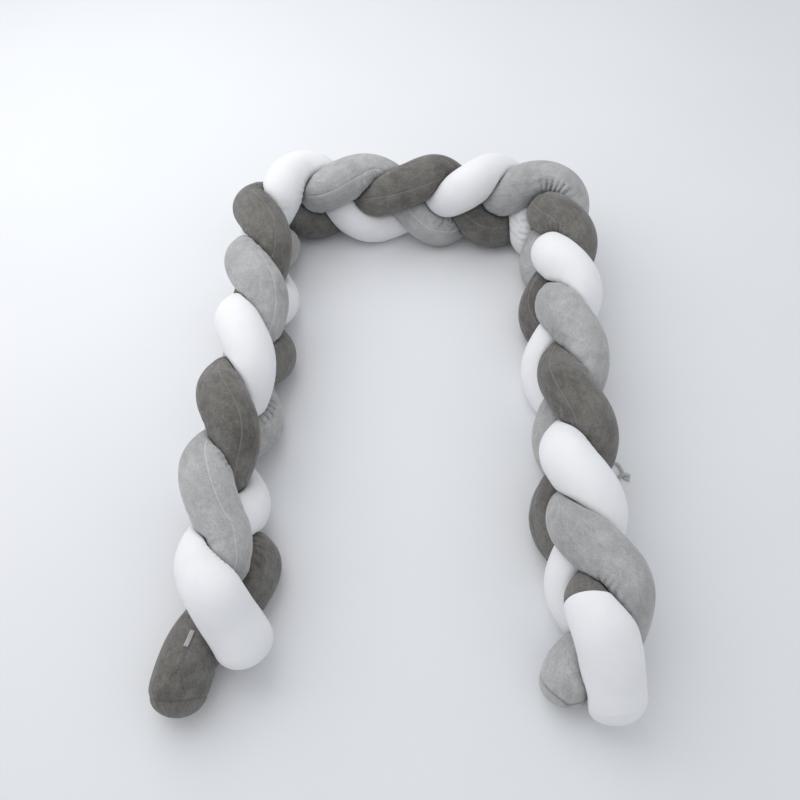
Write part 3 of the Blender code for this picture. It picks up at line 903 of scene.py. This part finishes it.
def make_seamed_tube(tube, routes, finish, end_finish):
    """A stuffed tube that ends at a cross seam, and the white end sewn to it, a little wider."""
    middle, along, _, _ = routes[tube]
    places = ring_places(along[-1])
    seam = along[-1] - SEAM_FROM_TIP
    before, after = seam - SEAM_GAP / 2, seam + SEAM_GAP / 2

    # the rings beside the seam turn in to it
    body = places[places < before - 2 * RIM]
    body = np.r_[body, before - RIM, before - RIM / 3, before]
    centres, rings, cloth = tube_skin(tube, tube, routes, body)
    rings[-1] += unit(centres[-1] - rings[-1]) * RIM
    rings[-2] += unit(centres[-2] - rings[-2]) * RIM / 3
    rings = slanted(rings, centres, body, seam)
    piece = loft(tube + "_stuffed_tube", rings, cloth, middle[0], centres[-1],
                 finish, tube + "_tube")

    end = places[places > after + 2 * RIM]
    end = np.r_[after, after + RIM / 3, after + RIM, end]
    centres, rings, cloth = tube_skin(tube, "white", routes, end, wider=SLEEVE_OVER)
    rings[0] += unit(centres[0] - rings[0]) * RIM / 2
    rings = slanted(rings, centres, end, seam)
    piece = loft("white_sewn_end", rings, cloth, centres[0], middle[-1],
                 end_finish, "white_end")


def make_tape(name, finish):
    """A narrow flat tape along its route, lying on its broad side."""
    route, along = even_points(smooth_curve(from_datum(TIES[name]), CURVE_STEPS), TAPE_STEP)
    heading = unit(np.gradient(route, axis=0))
    side = unit(np.cross(heading, (0.0, 0.0, 1.0)))
    up = np.cross(side, heading)
    corners = []        # round edges on both sides
    for angle in np.linspace(0, 2 * math.pi, TAPE_SIDES, endpoint=False):
        wide = abs(math.cos(angle)) ** TAPE_FLATNESS * math.copysign(1, math.cos(angle))
        corners.append((wide * TAPE_WIDTH / 2, math.sin(angle) * TAPE_THICKNESS / 2))
    rings = np.stack([route + side * wide + up * high for wide, high in corners], axis=1)
    count, sides = rings.shape[:2]
    faces, cloth = [], []
    for i in range(count - 1):
        for k in range(sides):
            following = (k + 1) % sides
            spots = ((i, k), (i, following), (i + 1, following), (i + 1, k))
            faces.append([ring * sides + corner for ring, corner in spots])
            cloth += [(corners[corner][0], along[ring]) for ring, corner in spots]
    for ring, order in ((0, range(sides)[::-1]), (count - 1, range(sides))):
        faces.append([ring * sides + corner for corner in order])
        cloth += [(corners[corner][0], along[ring]) for corner in order]
    piece = make_piece(name + "_tape", rings.reshape(-1, 3), faces, cloth, finish,
                       name)


def make_label(routes, finish):
    """The small folded label on the dark tube's left end, following its round back."""
    middle = routes["dark"][0]
    wide, long, thick = LABEL_SIZE
    place = from_datum((*LABEL_PLACE, 0.0))
    across, down = LABEL_MESH
    columns, rows = np.linspace(-0.5, 0.5, across), np.linspace(-0.5, 0.5, down)
    cos, sin = math.cos(LABEL_TURN), math.sin(LABEL_TURN)
    turn = np.array(((cos, -sin), (sin, cos)))
    points = []
    for face_height in (0.0, thick):
        for row in rows:
            for column in columns:
                x, y = turn @ (column * wide, row * long) + place[:2]
                apart = np.hypot(middle[:, 0] - x, middle[:, 1] - y)
                under = middle[apart.argmin()]
                back = under[2] + math.sqrt(TUBE_RADIUS ** 2 - apart.min() ** 2)
                edge = max(abs(column), abs(row)) > 0.49
                curl = LABEL_CURL * (2 * abs(row)) ** 3
                lift = LABEL_LIFT + (thick / 2 if edge else face_height)
                points.append((x, y, back + curl + lift))
    faces, cloth = [], []
    for layer in (0, 1):
        for i in range(down - 1):
            for k in range(across - 1):
                spots = ((i, k), (i, k + 1), (i + 1, k + 1), (i + 1, k))
                if layer == 0:
                    spots = spots[::-1]
                faces.append([(layer * down + row) * across + column for row, column in spots])
                cloth += [(columns[column] * wide, rows[row] * long) for row, column in spots]
    make_piece("blank_label", np.array(points), faces, cloth, finish, "seam_label")


# ------------------------------------------------------------------ the whole scene
make_camera()
make_studio()
tape = make_tape_finish("grey_twill_tape", (0.62, 0.61, 0.58), (0.46, 0.45, 0.42), pitch=0.0011)
for tie in TIES:
    make_tape(tie, tape)

# Each cover's darkest colour is painted shade, laid into its pleats and closing seams.
jersey = make_jersey("white_cotton_jersey", plain=(0.89, 0.895, 0.91), shaded=(0.82, 0.825, 0.85),
                     crease_shade_colour=(0.50, 0.50, 0.52))
light_velour = make_velour("light_grey_velour", brushed=(0.56, 0.562, 0.56),
                           plain=(0.28, 0.283, 0.285), crease_shade_colour=(0.09, 0.09, 0.088),
                           seam=(0.62, 0.62, 0.61), sheen=0.40)
dark_velour = make_velour("dark_grey_velour", brushed=(0.245, 0.237, 0.220),
                          plain=(0.078, 0.074, 0.066), crease_shade_colour=(0.03, 0.029, 0.026),
                          seam=(0.24, 0.235, 0.22), sheen=0.30)
satin = make_tape_finish("satin_label_tape", (0.66, 0.66, 0.64), (0.55, 0.55, 0.53), pitch=0.0005)

tube_routes = {tube: tube_route(tube) for tube in TUBES}
make_whole_tube("white", tube_routes, jersey)
make_whole_tube("light", tube_routes, light_velour)
make_seamed_tube("dark", tube_routes, dark_velour, jersey)
make_label(tube_routes, satin)
